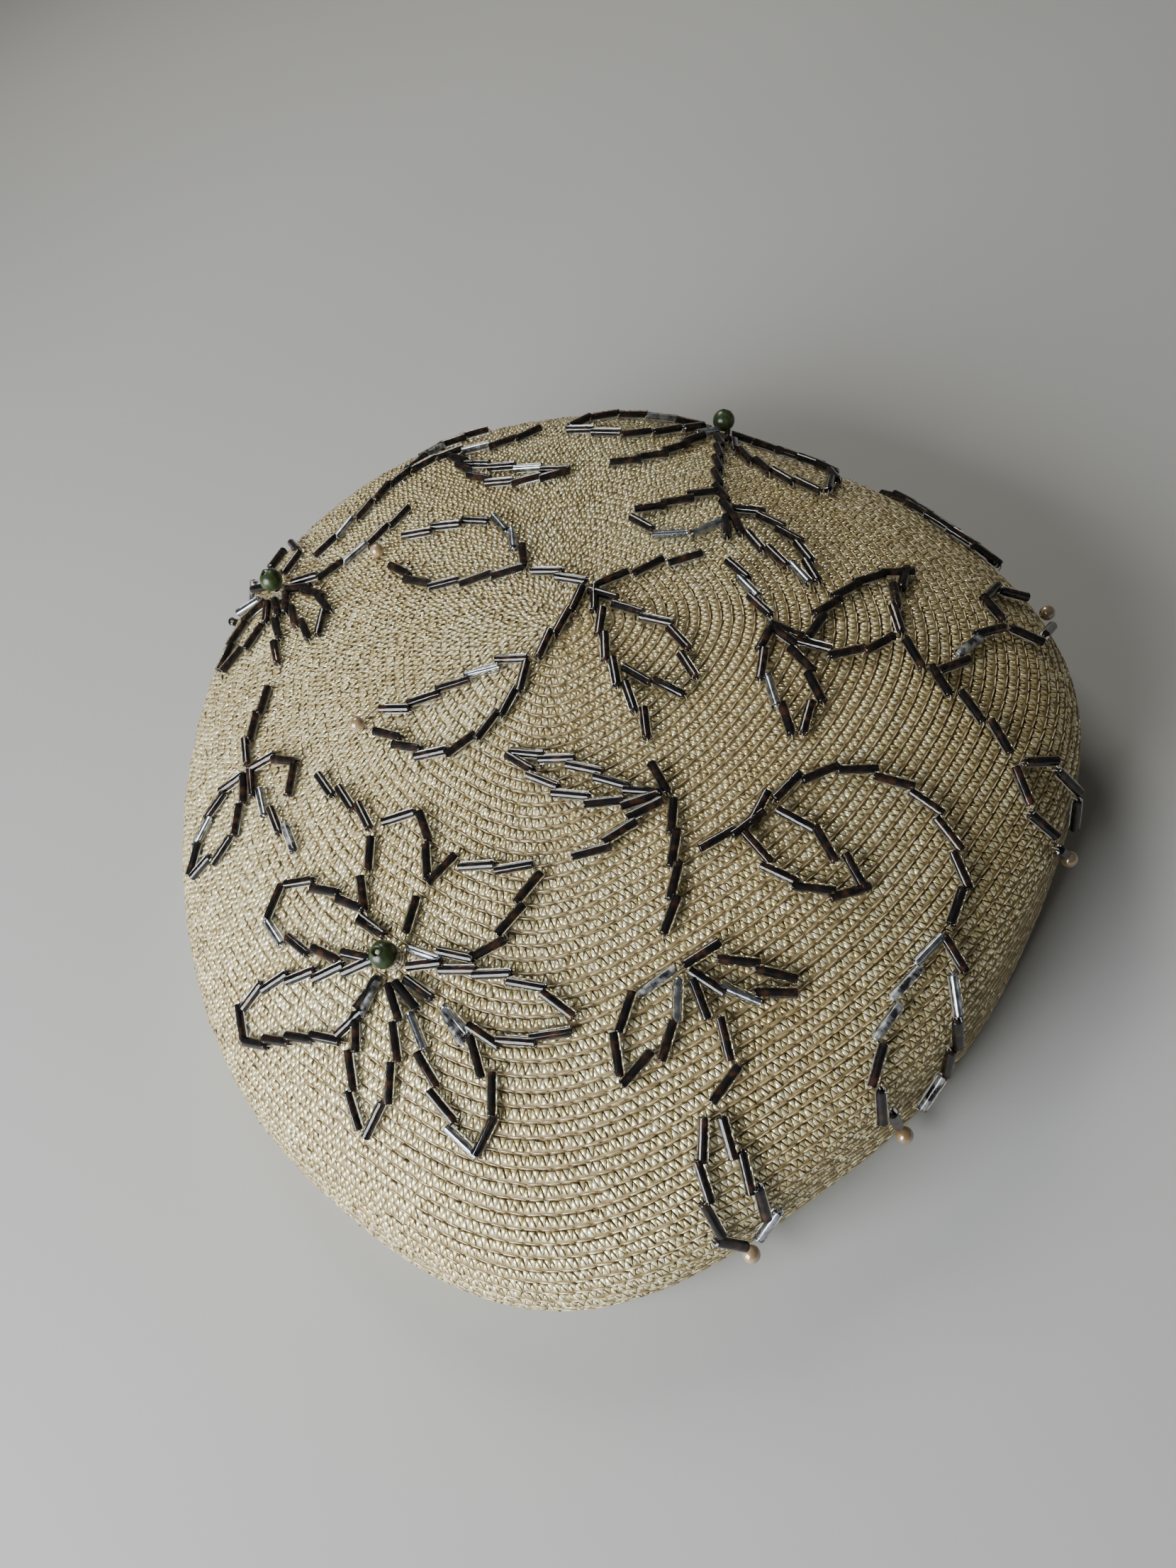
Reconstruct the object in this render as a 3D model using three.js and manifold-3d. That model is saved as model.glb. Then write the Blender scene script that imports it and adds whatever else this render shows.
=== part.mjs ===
// A straw beret: a hollow crown of spiral-sewn straw plait, trimmed with
// strings of glass bugle beads, round wood beads and pearls.
// Millimetres, +Z up. The crown stands on its rim at z = 0.

import * as THREE from 'three';
import { mergeVertices } from 'three/addons/utils/BufferGeometryUtils.js';
import Module from 'manifold-3d';

const wasm = await Module();
wasm.setup();

// Overall sizes of the crown
const CROWN_HALF_WIDTH = 110;
const CROWN_HEIGHT = 60;
const RIM_HALF_WIDTH = 102;
const RIM_HALF_DEPTH = 108;
const TIP_ACROSS = 2.5;
const TIP_DEPTH = 16;
const STRAW_THICKNESS = 1.6;

// Where the middle of the rim lies, so that the crown's outline is centred
const RIM_MIDDLE_ACROSS = -5;
const RIM_MIDDLE_DEPTH = 2.7;

// Sizes of the trimming
const BUGLE_DIAMETER = 2;
const BUGLE_PITCH = 7.5;
const BUGLE_SIDESTEP = 0.5;
const THREAD_DIAMETER = 1;
const THREAD_SHOWING = 0.8;
const WOOD_BEAD_DIAMETER = 6;
const WOOD_BEAD_BORE = 2;
const PEARL_DIAMETER = 3.6;
const KNOT_DIAMETER = 7.6;
const KNOT_THICKNESS = 0.8;
const SEAT_GAP = 0.3;
const JUNCTION_LAP = 0.5;
const END_THREAD = 1.8;

// How finely the round forms are faceted
const CROWN_BEARINGS = 40;
const TOP_STEPS = 11;
const SIDE_STEPS = 5;
const MERIDIAN_SAMPLES = 40;
const BUGLE_SIDES = 4;
const SAMPLES_PER_STOP = 20;
const KNOT_SIDES = 10;
const ROUND_BEARINGS = 12;
const ROUND_STEPS = 6;
const PEARL_BEARINGS = 8;
const PEARL_STEPS = 5;

// The flattened map's reach, and how far apart two points on it are taken to
// find which way the crown faces between them
const MAP_REACH = 100;
const MAP_STEP = 0.4;

// A string whose first stop is this near a wood bead on the map starts at the
// edge of that bead's knot
const HEART_REACH = 4;

// Points closer than this are one point
const MERGE_DISTANCE = 1e-4;

// The shoulder, where the top turns down to the side. One row each 30 degrees
// round the crown: its reach as a share of the crown's half width, and its
// rise above the rim as a share of the crown's height.
const SHOULDER = [
  { bearing: 0, reach: 1.03, rise: 0.47 },
  { bearing: 30, reach: 1.0, rise: 0.45 },
  { bearing: 60, reach: 0.97, rise: 0.55 },
  { bearing: 90, reach: 1.06, rise: 0.7 },
  { bearing: 120, reach: 1.05, rise: 0.82 },
  { bearing: 150, reach: 0.98, rise: 0.77 },
  { bearing: 180, reach: 0.94, rise: 0.55 },
  { bearing: 210, reach: 0.97, rise: 0.27 },
  { bearing: 240, reach: 1.02, rise: 0.22 },
  { bearing: 270, reach: 1.11, rise: 0.2 },
  { bearing: 300, reach: 1.01, rise: 0.36 },
  { bearing: 330, reach: 0.98, rise: 0.43 },
];

// Places on the crown are read off its flattened map. Its centre is the tip
// of the spiral, and its reach is the whole way from the tip to the rim. The
// first number runs along +X and the second along +Y.

// The strings of beads, one list for each sewn spray
const STRINGS = {
  bead_spray_centre: [
    [[4, 8], [0, 10], [-5, 13]],
    [[-5, 13], [-7, 19], [-11, 27], [-17, 29], [-27, 30]],
    [[-5, 13], [-12, 14], [-17, 15], [-22, 17], [-28, 25]],
    [[4, 8], [8, 4], [12, 1], [17, -2], [20, -7], [22, -13]],
    [[22, -13], [20, -14], [15, -12], [10, -10]],
    [[4, 8], [1, 1], [-4, -7]],
    [[-4, -7], [-8, -6], [-14, -7], [-25, -9], [-31, -8]],
    [[-4, -7], [-6, -12], [-10, -17], [-16, -20], [-22, -19], [-31, -11]],
    [[4, 8], [9, 10], [16, 13], [23, 15]],
    [[4, 8], [5, 5], [7, -3], [11, -13], [14, -18], [16, -23]],
  ],
  bead_vine_middle: [
    [[16.5, -25.5], [18, -31]],
    [[18, -31], [19, -34], [19, -43], [18, -49]],
    [[18, -31], [12, -29], [7, -26], [2, -23], [-6, -21]],
    [[18, -31], [11, -31], [5, -29], [0, -26], [-6, -21]],
    [[18, -31], [14, -33], [9, -36], [4, -37]],
  ],
  bead_spray_front: [
    [[20, -53], [23, -51], [27, -52], [31, -53], [36, -55]],
    [[20, -53], [25, -55], [29, -56], [36, -55]],
    [[20, -53], [14, -54], [11, -57], [10, -63]],
    [[20, -53], [19, -56], [17, -60], [10, -63]],
    [[20, -53], [22, -56], [25, -60], [26, -63], [23, -68]],
    [[23, -68], [21, -71], [21, -75], [22, -80], [26, -85]],
    [[23, -68], [26, -73], [28, -77], [30, -81], [28.5, -85]],
  ],
  bead_sprig_top: [
    [[25, 19], [26, 27], [25, 33], [24, 42], [24, 51], [24, 58.8]],
    [[25, 35], [22, 34], [19, 32], [10, 27]],
    [[26, 25], [23, 23], [19, 21], [14, 22], [10, 27]],
    [[26, 29], [30, 28], [34, 23], [37, 17], [38, 8]],
    [[26, 27], [29, 20], [32, 16], [35, 12], [38, 8]],
  ],
  bead_sprig_right: [
    [[26, 14], [28, 8], [29, 4], [31, 0]],
    [[31, 0], [31, -8], [33, -13], [37, -21]],
    [[31, 0], [35, -5], [38, -10], [39, -14], [37, -21]],
    [[31, 0], [37, -4], [42, -5], [49, -1]],
    [[37, -4], [38, 1], [41, 6], [46, 11], [53, 15]],
    [[49, -1], [49, 6], [51, 12], [53, 15]],
    [[49, -1], [54, -7], [60, -12], [66, -18]],
    [[66, -18], [68, -24], [72, -27], [80, -28]],
    [[66, -18], [71, -17], [76, -19], [81, -23]],
    [[54, -7], [57, -4], [59, 0], [64, 6]],
    [[64, 6], [63, 12], [67, 15], [71, 15.5]],
    [[64, 6], [67, 5], [71, 7], [73.5, 13]],
  ],
  bead_spray_right: [
    [[22, -37], [25, -37], [29, -35], [33, -33]],
    [[33, -33], [38, -34], [42, -38], [47, -42]],
    [[30, -35], [31, -38], [34, -41], [40, -43], [47, -42]],
    [[29, -35], [34, -30], [40, -26], [47, -25], [54, -28], [58, -34], [59, -40], [56, -45]],
    [[56, -45], [52, -51], [48, -57], [46, -63], [47, -68], [54, -73]],
    [[56, -45], [58, -49], [58, -54], [60, -60], [61, -66], [58, -72]],
  ],
  bead_flower_front: [
    [[-23, -46.3], [-28, -43], [-29, -37], [-28, -30]],
    [[-28, -30], [-20, -28]],
    [[-21.5, -46.5], [-18, -40]],
    [[-18, -40], [-18, -35], [-20, -28]],
    [[-42, -16], [-35, -23], [-28, -30]],
    [[-18, -40], [-14, -37], [-8, -37], [0, -37]],
    [[-20.4, -48], [-13, -48], [-7, -47], [-3, -42], [0, -37]],
    [[-20.4, -49], [-12, -49.5], [-4, -50], [1, -52], [5, -56]],
    [[-20.7, -50], [-14, -54]],
    [[-14, -54], [-5, -57], [5, -56]],
    [[-21.5, -50.5], [-18, -55], [-16, -60], [-13, -65], [-8, -70]],
    [[-14, -54], [-9, -58], [-6, -63], [-8, -70]],
    [[-22.5, -50.8], [-21, -58], [-23, -65], [-28, -69]],
    [[-23.5, -50.5], [-27, -54], [-29, -60], [-29, -65], [-28, -69]],
    [[-24.3, -50], [-31, -57], [-40, -56.5], [-54, -55]],
    [[-24.7, -49], [-34, -49], [-47, -48], [-54, -50], [-54, -55]],
    [[-24.6, -48], [-33, -47], [-43, -43], [-50, -38]],
    [[-24, -46.8], [-29, -42], [-37, -37], [-45, -34], [-50, -38]],
  ],
  bead_flower_back: [
    [[25.3, 63.5], [34, 60], [41, 55], [44, 47], [42, 37]],
    [[24.5, 62.5], [28, 51], [34, 43], [42, 37]],
    [[21.4, 65], [12, 64], [3, 62], [-3, 56]],
    [[21.7, 63.5], [14, 56], [6, 53], [-3, 56]],
    [[22.7, 62.5], [18, 52], [12, 45], [5, 41]],
    [[25.7, 65], [36, 65], [46, 61], [55, 54]],
    [[55, 54], [61, 47], [66, 38], [70, 27]],
    [[55, 54], [57, 42], [63, 33], [70, 27]],
    [[21.8, 66], [14, 71], [8, 78], [8, 86]],
    [[22.8, 66.6], [20, 75], [15, 82], [8, 86]],
    [[24, 66.7], [24, 75], [28, 82], [35, 85]],
    [[25.2, 66], [31, 71], [35, 77], [35, 85]],
  ],
  bead_vine_back: [
    [[-6, 57], [-13, 53], [-21, 53], [-28, 50], [-34, 43], [-40, 37], [-44, 35]],
    [[-28, 50], [-24, 57], [-16, 62]],
    [[-21, 53], [-18, 48], [-10, 43], [0, 39]],
    [[-21, 53], [-16, 43], [-10, 38], [0, 39]],
  ],
  bead_flower_left: [
    [[-51, 33], [-53, 39], [-50, 44]],
    [[-49, 33], [-47, 39], [-50, 44]],
    [[-47.5, 31], [-41, 29], [-34, 31], [-25, 38]],
    [[-48, 30], [-43, 26], [-40, 20], [-42, 14]],
    [[-49, 29], [-46, 21], [-42, 14]],
    [[-50, 29], [-49.5, 20], [-50, 11]],
    [[-52, 30], [-58, 26], [-63, 18]],
    [[-51, 29], [-54, 22], [-63, 18]],
    [[-52, 32], [-58, 37], [-65, 36]],
    [[-52.5, 31], [-59, 31], [-65, 36]],
  ],
  bead_vine_left: [
    [[-50.5, 8], [-53, 4], [-56, -3], [-56, -8]],
    [[-56, -8], [-62, -11], [-67, -16], [-70, -22]],
    [[-56, -8], [-57, -15], [-60, -21], [-70, -22]],
    [[-56, -8], [-50, -9], [-46, -13], [-48, -18]],
    [[-56, -8], [-54, -13], [-50, -20], [-43, -29]],
  ],
};

// The round wood beads at the flowers' hearts
const WOOD_BEADS = [
  { name: 'wood_bead_front', place: [-22.5, -48.5], spray: 'bead_flower_front' },
  { name: 'wood_bead_back', place: [23.5, 64.5], spray: 'bead_flower_back' },
  { name: 'wood_bead_left', place: [-50, 31], spray: 'bead_flower_left' },
];

// The pearls at the leaf tips
const PEARLS = [
  { name: 'pearl_front_rim', place: [27.5, -88] },
  { name: 'pearl_right_rim', place: [57, -75.5] },
  { name: 'pearl_right_side', place: [83, -26] },
  { name: 'pearl_centre_leaf', place: [-34, -9.5] },
  { name: 'pearl_upper_leaf', place: [-30.3, 28.5] },
  { name: 'pearl_right_back', place: [74.5, 16.5] },
];

// Finishes
const STRAW = new THREE.MeshStandardMaterial({ color: 0xd9c694, roughness: 0.45, metalness: 0 });
const GLASS = new THREE.MeshStandardMaterial({ color: 0x3a3535, roughness: 0.12, metalness: 0.4 });
const WOOD = new THREE.MeshStandardMaterial({ color: 0x33421f, roughness: 0.4, metalness: 0 });
const PEARL = new THREE.MeshStandardMaterial({ color: 0xe6d6c4, roughness: 0.25, metalness: 0 });

// Smooth closed curve through evenly spaced values, read at a bearing
function around(values, bearing) {
  const count = values.length;
  const place = THREE.MathUtils.euclideanModulo(bearing / (2 * Math.PI), 1) * count;
  const first = Math.floor(place) % count;
  const part = place - Math.floor(place);
  const [a, b, c, d] = [-1, 0, 1, 2].map((step) => values[(first + step + count) % count]);
  const slopeIn = (c - a) / 2;
  const slopeOut = (d - b) / 2;
  const square = part * part;
  const cube = square * part;
  return b * (2 * cube - 3 * square + 1) + slopeIn * (cube - 2 * square + part)
    + c * (3 * square - 2 * cube) + slopeOut * (cube - square);
}

const tip = new THREE.Vector3(TIP_ACROSS, TIP_DEPTH, CROWN_HEIGHT);
const reaches = SHOULDER.map((row) => row.reach);
const rises = SHOULDER.map((row) => row.rise);

function shoulderAt(bearing) {
  const reach = CROWN_HALF_WIDTH * around(reaches, bearing);
  const rise = CROWN_HEIGHT * around(rises, bearing);
  return new THREE.Vector3(reach * Math.cos(bearing), reach * Math.sin(bearing), rise);
}

function rimAt(bearing) {
  return new THREE.Vector3(RIM_HALF_WIDTH * Math.cos(bearing), RIM_HALF_DEPTH * Math.sin(bearing), 0);
}

// Quarter arcs: over the top from the tip to the shoulder, then under to the rim
function topPoint(bearing, angle) {
  const shoulder = shoulderAt(bearing);
  const out = Math.sin(angle);
  return new THREE.Vector3(
    THREE.MathUtils.lerp(tip.x, shoulder.x, out),
    THREE.MathUtils.lerp(tip.y, shoulder.y, out),
    THREE.MathUtils.lerp(shoulder.z, tip.z, Math.cos(angle)),
  );
}

function sidePoint(bearing, angle) {
  const shoulder = shoulderAt(bearing);
  const rim = rimAt(bearing);
  const out = Math.cos(angle);
  return new THREE.Vector3(
    THREE.MathUtils.lerp(rim.x, shoulder.x, out),
    THREE.MathUtils.lerp(rim.y, shoulder.y, out),
    shoulder.z * (1 - Math.sin(angle)),
  );
}

function meridian(bearing, topSteps, sideSteps) {
  const points = [];
  for (let step = 0; step <= topSteps; step += 1) {
    points.push(topPoint(bearing, (step / topSteps) * Math.PI / 2));
  }
  for (let step = 1; step <= sideSteps; step += 1) {
    points.push(sidePoint(bearing, (step / sideSteps) * Math.PI / 2));
  }
  return points;
}

// The point that lies a share of the way from the tip to the rim
function pointAt(bearing, share) {
  const points = meridian(bearing, MERIDIAN_SAMPLES, MERIDIAN_SAMPLES);
  const lengths = [0];
  for (let i = 1; i < points.length; i += 1) {
    lengths.push(lengths[i - 1] + points[i].distanceTo(points[i - 1]));
  }
  const target = share * lengths[lengths.length - 1];
  let i = 1;
  while (i < points.length - 1 && lengths[i] < target) i += 1;
  const part = (target - lengths[i - 1]) / (lengths[i] - lengths[i - 1]);
  return points[i - 1].clone().lerp(points[i], part);
}

function onCrown([across, up]) {
  return pointAt(Math.atan2(up, across), Math.hypot(across, up) / MAP_REACH);
}

function outward([across, up]) {
  const alongX = onCrown([across + MAP_STEP, up]).sub(onCrown([across - MAP_STEP, up]));
  const alongY = onCrown([across, up + MAP_STEP]).sub(onCrown([across, up - MAP_STEP]));
  return alongX.cross(alongY).normalize();
}

// Closed solids from grids and rings of points
function solidFrom(positions, triangles) {
  const geometry = new THREE.BufferGeometry();
  const numbers = positions.flatMap((p) => p.toArray());
  geometry.setAttribute('position', new THREE.Float32BufferAttribute(numbers, 3));
  geometry.setIndex(triangles);
  return geometry;
}

function toManifold(geometry) {
  const bare = geometry.clone();
  bare.deleteAttribute('normal');
  bare.deleteAttribute('uv');
  const merged = mergeVertices(bare, MERGE_DISTANCE);
  return new wasm.Manifold(new wasm.Mesh({
    numProp: 3,
    vertProperties: new Float32Array(merged.attributes.position.array),
    triVerts: new Uint32Array(merged.index.array),
  }));
}

function fromManifold(solid) {
  const mesh = solid.getMesh();
  const geometry = new THREE.BufferGeometry();
  geometry.setAttribute('position', new THREE.BufferAttribute(new Float32Array(mesh.vertProperties), 3));
  geometry.setIndex([...mesh.triVerts]);
  geometry.computeVertexNormals();
  return geometry;
}

function crownGeometry() {
  const columns = [];
  for (let turn = 0; turn < CROWN_BEARINGS; turn += 1) {
    columns.push(meridian((turn / CROWN_BEARINGS) * 2 * Math.PI, TOP_STEPS, SIDE_STEPS));
  }
  const rows = TOP_STEPS + SIDE_STEPS;
  const outer = [tip.clone()];
  const inner = [tip.clone().setZ(tip.z - STRAW_THICKNESS)];
  for (let turn = 0; turn < CROWN_BEARINGS; turn += 1) {
    const next = columns[(turn + 1) % CROWN_BEARINGS];
    const last = columns[(turn - 1 + CROWN_BEARINGS) % CROWN_BEARINGS];
    for (let row = 1; row <= rows; row += 1) {
      const point = columns[turn][row];
      const down = columns[turn][Math.min(row + 1, rows)].clone().sub(columns[turn][row - 1]);
      const normal = down.cross(next[row].clone().sub(last[row])).normalize();
      outer.push(point);
      if (row < rows) {
        inner.push(point.clone().addScaledVector(normal, -STRAW_THICKNESS));
      } else {
        const inward = point.clone().normalize();
        inner.push(point.clone().addScaledVector(inward, -STRAW_THICKNESS));
      }
    }
  }
  const points = [...outer, ...inner];
  const shift = outer.length;
  const at = (turn, row) => 1 + (turn % CROWN_BEARINGS) * rows + row - 1;
  const triangles = [];
  for (let turn = 0; turn < CROWN_BEARINGS; turn += 1) {
    triangles.push(0, at(turn, 1), at(turn + 1, 1));
    triangles.push(shift, shift + at(turn + 1, 1), shift + at(turn, 1));
    for (let row = 1; row < rows; row += 1) {
      const [a, b] = [at(turn, row), at(turn + 1, row)];
      const [c, d] = [at(turn, row + 1), at(turn + 1, row + 1)];
      triangles.push(a, c, b, b, c, d);
      triangles.push(shift + a, shift + b, shift + c, shift + b, shift + d, shift + c);
    }
    const [a, b] = [at(turn, rows), at(turn + 1, rows)];
    triangles.push(a, shift + a, b, b, shift + a, shift + b);
  }
  return solidFrom(points, triangles);
}

// A ring of points round a bead or its thread
function ringOf(centre, axis, up, radius) {
  const side = up.clone().cross(axis).normalize();
  const lift = axis.clone().cross(side).normalize();
  const points = [];
  for (let k = 0; k < BUGLE_SIDES; k += 1) {
    const angle = ((k + 0.5) / BUGLE_SIDES) * 2 * Math.PI;
    points.push(centre.clone()
      .addScaledVector(side, radius * Math.cos(angle))
      .addScaledVector(lift, radius * Math.sin(angle)));
  }
  return points;
}

// A closed bar through the rings, one after the other
function barThrough(rings) {
  const triangles = [];
  for (let row = 0; row < rings.length - 1; row += 1) {
    for (let k = 0; k < BUGLE_SIDES; k += 1) {
      const next = (k + 1) % BUGLE_SIDES;
      const [a, b] = [row * BUGLE_SIDES + k, row * BUGLE_SIDES + next];
      triangles.push(a, b, a + BUGLE_SIDES, b, b + BUGLE_SIDES, a + BUGLE_SIDES);
    }
  }
  const last = (rings.length - 1) * BUGLE_SIDES;
  for (let k = 1; k < BUGLE_SIDES - 1; k += 1) {
    triangles.push(0, k + 1, k);
    triangles.push(last, last + k, last + k + 1);
  }
  return toManifold(solidFrom(rings.flat(), triangles));
}

// One string: bugle beads evenly spaced along its curve, each one turned a
// little across the thread, which narrows to the thread between them
function stringOfBugles(stops) {
  const curve = new THREE.CatmullRomCurve3(stops.map(([across, up]) => new THREE.Vector3(across, up, 0)));
  const samples = curve.getSpacedPoints(SAMPLES_PER_STOP * stops.length).map((p) => [p.x, p.y]);
  const lengths = [0];
  for (let i = 1; i < samples.length; i += 1) {
    lengths.push(lengths[i - 1] + onCrown(samples[i]).distanceTo(onCrown(samples[i - 1])));
  }
  const whole = lengths[lengths.length - 1];
  const placeAt = (length) => {
    let i = 1;
    while (i < samples.length - 1 && lengths[i] < length) i += 1;
    const part = (length - lengths[i - 1]) / (lengths[i] - lengths[i - 1]);
    return [0, 1].map((k) => THREE.MathUtils.lerp(samples[i - 1][k], samples[i][k], part));
  };
  const run = whole - 2 * END_THREAD;
  const count = Math.max(1, Math.round(run / BUGLE_PITCH));
  const pitch = (run + THREAD_SHOWING) / count;
  const length = pitch - THREAD_SHOWING;
  const seatOf = (place) => onCrown(place).addScaledVector(outward(place), SEAT_GAP + BUGLE_DIAMETER / 2);
  const threadRing = (centre, heading, up) => ringOf(centre, heading, up, THREAD_DIAMETER / 2);
  const rings = [];
  let lastEnd = null;
  for (let i = 0; i < count; i += 1) {
    const middle = END_THREAD + i * pitch + length / 2;
    const place = placeAt(middle);
    const up = outward(place);
    const along = onCrown(placeAt(middle + length / 4)).sub(onCrown(placeAt(middle - length / 4)));
    along.addScaledVector(up, -along.dot(up)).normalize();
    const across = up.clone().cross(along);
    const heading = along.multiplyScalar(length / 2).addScaledVector(across, BUGLE_SIDESTEP);
    heading.setLength(length / 2);
    const start = seatOf(place).sub(heading);
    const end = seatOf(place).add(heading);
    const nudge = heading.clone().setLength(JUNCTION_LAP);
    if (lastEnd) {
      rings.push(threadRing(start.clone().add(lastEnd).multiplyScalar(0.5), heading, up));
    } else {
      rings.push(threadRing(seatOf(placeAt(0)).sub(nudge), heading, up));
    }
    rings.push(ringOf(start, heading, up, BUGLE_DIAMETER / 2));
    rings.push(ringOf(end, heading, up, BUGLE_DIAMETER / 2));
    lastEnd = end;
    if (i === count - 1) {
      rings.push(threadRing(seatOf(placeAt(whole)).add(nudge), heading, up));
    }
  }
  return barThrough(rings);
}

// Turns a shape's +Z to the way out of the crown, and stands it there
function seat(geometry, place, height) {
  const up = outward(place);
  const turn = new THREE.Quaternion().setFromUnitVectors(new THREE.Vector3(0, 0, 1), up);
  const centre = onCrown(place).addScaledVector(up, height);
  geometry.applyQuaternion(turn);
  geometry.translate(centre.x, centre.y, centre.z);
  return geometry;
}

// The wad of thread under a wood bead, which ties the strings of its flower
function knotUnder(place) {
  const knot = new THREE.CylinderGeometry(KNOT_DIAMETER / 2, KNOT_DIAMETER / 2, KNOT_THICKNESS, KNOT_SIDES);
  knot.rotateX(Math.PI / 2);
  return toManifold(seat(knot, place, SEAT_GAP + KNOT_THICKNESS / 2));
}

function startAtKnot(stops, heart) {
  const [first, ...rest] = stops;
  const way = new THREE.Vector2(first[0] - heart[0], first[1] - heart[1]);
  if (way.length() > HEART_REACH) return stops;
  const distance = onCrown(first).distanceTo(onCrown(heart));
  way.multiplyScalar((KNOT_DIAMETER / 2 - JUNCTION_LAP) / distance);
  return [[heart[0] + way.x, heart[1] + way.y], ...rest];
}

function sprayGeometry(name) {
  const bead = WOOD_BEADS.find(({ spray }) => spray === name);
  const routes = bead ? STRINGS[name].map((stops) => startAtKnot(stops, bead.place)) : STRINGS[name];
  const solids = routes.map(stringOfBugles);
  if (bead) solids.push(knotUnder(bead.place));
  return fromManifold(solids.reduce((sum, solid) => sum.add(solid)));
}

// A ball turned about the bore that runs through it
function woodBeadGeometry(place) {
  const radius = WOOD_BEAD_DIAMETER / 2;
  const bore = WOOD_BEAD_BORE / 2;
  const reach = Math.acos(bore / radius);
  const profile = [];
  for (let step = 0; step <= ROUND_STEPS; step += 1) {
    const angle = THREE.MathUtils.lerp(-reach, reach, step / ROUND_STEPS);
    profile.push(new THREE.Vector2(radius * Math.cos(angle), radius * Math.sin(angle)));
  }
  profile.push(profile[0].clone());
  const ball = new THREE.LatheGeometry(profile, ROUND_BEARINGS);
  ball.rotateX(Math.PI / 2);
  return seat(ball, place, SEAT_GAP + KNOT_THICKNESS + SEAT_GAP + radius);
}

function pearlGeometry(place) {
  const ball = new THREE.SphereGeometry(PEARL_DIAMETER / 2, PEARL_BEARINGS, PEARL_STEPS);
  ball.rotateX(Math.PI / 2);
  return seat(ball, place, SEAT_GAP + PEARL_DIAMETER / 2);
}

function named(name, geometry, material) {
  const mesh = new THREE.Mesh(geometry, material);
  mesh.name = name;
  return mesh;
}

const beret = new THREE.Group();
beret.position.set(RIM_MIDDLE_ACROSS, RIM_MIDDLE_DEPTH, 0);
beret.add(named('straw_crown', crownGeometry(), STRAW));
for (const name of Object.keys(STRINGS)) {
  beret.add(named(name, sprayGeometry(name), GLASS));
}
for (const bead of WOOD_BEADS) {
  beret.add(named(bead.name, woodBeadGeometry(bead.place), WOOD));
}
for (const pearl of PEARLS) {
  beret.add(named(pearl.name, pearlGeometry(pearl.place), PEARL));
}

export default beret;
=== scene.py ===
"""The look of a straw beret: sewn plait, glass bugle beads, wood beads and pearls.

Shapes are worked out in millimetres, in the frame of the CAD model, and become
metres when a mesh is made.
"""

import math

import bpy
import numpy as np
from mathutils import Matrix, Vector


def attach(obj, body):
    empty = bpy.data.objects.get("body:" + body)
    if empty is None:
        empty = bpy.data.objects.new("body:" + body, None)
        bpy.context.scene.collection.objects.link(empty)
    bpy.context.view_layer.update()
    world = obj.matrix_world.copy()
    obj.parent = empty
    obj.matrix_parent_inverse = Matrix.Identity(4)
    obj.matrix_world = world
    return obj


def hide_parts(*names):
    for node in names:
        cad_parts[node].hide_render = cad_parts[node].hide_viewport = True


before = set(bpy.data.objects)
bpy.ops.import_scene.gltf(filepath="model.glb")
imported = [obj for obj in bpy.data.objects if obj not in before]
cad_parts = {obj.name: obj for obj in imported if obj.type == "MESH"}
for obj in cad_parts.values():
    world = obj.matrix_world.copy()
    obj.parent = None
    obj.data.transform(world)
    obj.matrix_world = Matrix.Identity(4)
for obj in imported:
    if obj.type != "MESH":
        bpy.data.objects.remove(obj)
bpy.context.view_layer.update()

TAU = 2 * math.pi
METRES = 0.001
rng = np.random.default_rng(11)

# The crown's form, as in the CAD model
CROWN_HALF_WIDTH = 110
CROWN_HEIGHT = 60
RIM_HALF_WIDTH = 102
RIM_HALF_DEPTH = 108
TIP_ACROSS = 2.5
TIP_DEPTH = 16
STRAW_THICKNESS = 1.6
MIDDLE = np.array([-5.0, 2.7, 0.0])

# The shoulder's reach and rise at twelve bearings, as shares of CROWN_HALF_WIDTH and CROWN_HEIGHT
SHOULDER_REACH = np.array([1.03, 1.0, 0.97, 1.06, 1.05, 0.98, 0.94, 0.97, 1.02, 1.11, 1.01, 0.98])
SHOULDER_RISE = np.array([0.47, 0.45, 0.55, 0.7, 0.82, 0.77, 0.55, 0.27, 0.22, 0.2, 0.36, 0.43])

# How finely the crown is sampled
TABLE_BEARINGS = 720
TABLE_SAMPLES = 60
TABLE_SHARES = 501
SHELL_COLUMNS = 300
SPIRAL_STEPS = 360

# The sewn plait. Places across a row run from 0 at its inner edge to 1 at its outer edge, and the
# ribs' mean and swing are shares of TILE_STEP. The facets stop RIM_MARGIN of a row before the rim.
# The laps are the places across a row where the skins outside and inside have their points
ROWS = 62
STITCH = 1.5
TILE_STEP = 0.85
RIB_BEARING = math.radians(-28)
RIB_MEAN = 0.48
RIB_SWING = 0.48
RIM_MARGIN = 0.4
OUTSIDE_LAPS = (0.04, 0.5, 0.93)
OUTSIDE_SINKING = (1.0, 0.5, 0.0)
INSIDE_LAPS = (0.1, 0.9)
INSIDE_HEIGHTS = (-STRAW_THICKNESS - 0.15, -STRAW_THICKNESS + 0.1)
BANDS = ((0.0, 30.0), (30.0, 45.0), (45.0, 54.0), (54.0, 62.0))

# A facet's size and place, and how far each strays from it
FACET_LENGTH = 1.44
FACET_WIDTH = 1.72
FACET_WIDENING = 0.6
FACET_HEIGHT = 0.34
FACET_ACROSS = 0.42
FACET_SHIFT = 0.06
FACET_PARTING = 0.1
FACET_TILT = 0.16
FACET_STRAY = 0.025
FACET_TWIST = 0.06
FACET_ROCK = 0.14
SIZE_STRAY = 0.05

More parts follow.
